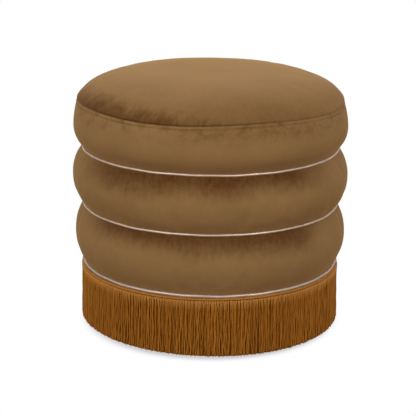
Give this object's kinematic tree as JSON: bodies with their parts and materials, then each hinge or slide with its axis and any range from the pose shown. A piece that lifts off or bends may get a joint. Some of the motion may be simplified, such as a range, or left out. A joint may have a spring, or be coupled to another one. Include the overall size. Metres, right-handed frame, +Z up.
{
  "type": "tuffet",
  "caption": "Round velvet tuffet of stacked padded rolls with metallic piping in the valleys, a crowned seat and a long fringe over its plinth.",
  "frame": {"origin": "on the floor, under the centre of the tuffet", "axes": "+Z up along the axis of the round body, -Y towards the picture's camera, +X to the right in it"},
  "size_m": [0.46, 0.46, 0.4315],
  "materials": {
    "velvet": "matte",
    "metallic_piping": "satin",
    "fringe_yarn": "matte",
    "plain_cotton": "matte",
    "plywood": "matte",
    "pine": "matte",
    "hardboard": "matte",
    "foam": "matte",
    "wadding": "matte",
    "non_woven": "matte",
    "black_plastic": "satin",
    "zinc_steel": "satin"
  },
  "bodies": {
    "root": {"base_board": "plywood", "seat_board": "plywood", "lower_hoop": "plywood", "middle_hoop": "plywood", "drum_wall": "hardboard", "plinth_wall": "hardboard", "batten_1": "pine", "batten_2": "pine", "batten_3": "pine", "batten_4": "pine", "batten_5": "pine", "batten_6": "pine", "lower_batten_screw_1": "zinc_steel", "lower_batten_screw_2": "zinc_steel", "lower_batten_screw_3": "zinc_steel", "lower_batten_screw_4": "zinc_steel", "lower_batten_screw_5": "zinc_steel", "lower_batten_screw_6": "zinc_steel", "upper_batten_screw_1": "zinc_steel", "upper_batten_screw_2": "zinc_steel", "upper_batten_screw_3": "zinc_steel", "upper_batten_screw_4": "zinc_steel", "upper_batten_screw_5": "zinc_steel", "upper_batten_screw_6": "zinc_steel", "lower_foam": "foam", "middle_foam": "foam", "seat_foam": "foam", "seat_wadding": "wadding", "plinth_cover": "plain_cotton", "lower_roll_cover": "velvet", "middle_roll_cover": "velvet", "top_band": "velvet", "top_panel": "velvet", "lower_piping": "metallic_piping", "middle_piping": "metallic_piping", "upper_piping": "metallic_piping", "fringe_front": "fringe_yarn", "fringe_right": "fringe_yarn", "fringe_back": "fringe_yarn", "fringe_left": "fringe_yarn", "foot_1": "black_plastic", "foot_2": "black_plastic", "foot_3": "black_plastic", "foot_4": "black_plastic", "foot_screw_1": "zinc_steel", "foot_screw_2": "zinc_steel", "foot_screw_3": "zinc_steel", "foot_screw_4": "zinc_steel", "dust_cover": "non_woven"}
  },
  "joints": []
}
